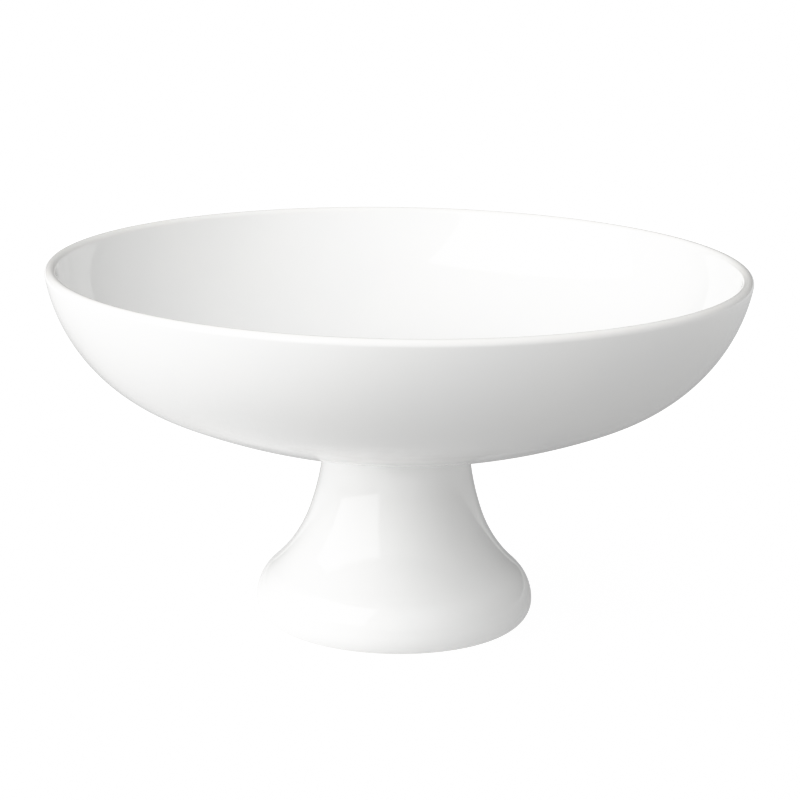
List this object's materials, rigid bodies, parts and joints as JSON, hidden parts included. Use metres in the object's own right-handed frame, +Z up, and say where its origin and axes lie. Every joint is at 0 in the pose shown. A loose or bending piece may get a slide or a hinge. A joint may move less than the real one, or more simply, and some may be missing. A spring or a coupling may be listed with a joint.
{
  "type": "pedestal serving bowl",
  "caption": "Shallow round serving bowl in glossy white porcelain on a flared, hollow pedestal foot, for fruit, sweets or a centrepiece on a party table.",
  "frame": {"origin": "centre of the foot's dry ring, on the surface that the bowl stands on", "axes": "+Z up along the axis of revolution; X and Y are level and equivalent, because the object is round"},
  "size_m": [0.254, 0.254, 0.1325],
  "materials": {
    "glaze": "gloss",
    "porcelain_body": "matte",
    "slip": "matte"
  },
  "bodies": {
    "root": {"bowl": "porcelain_body", "pedestal": "porcelain_body", "luting_slip": "slip", "glaze_coat": "glaze"}
  },
  "joints": []
}
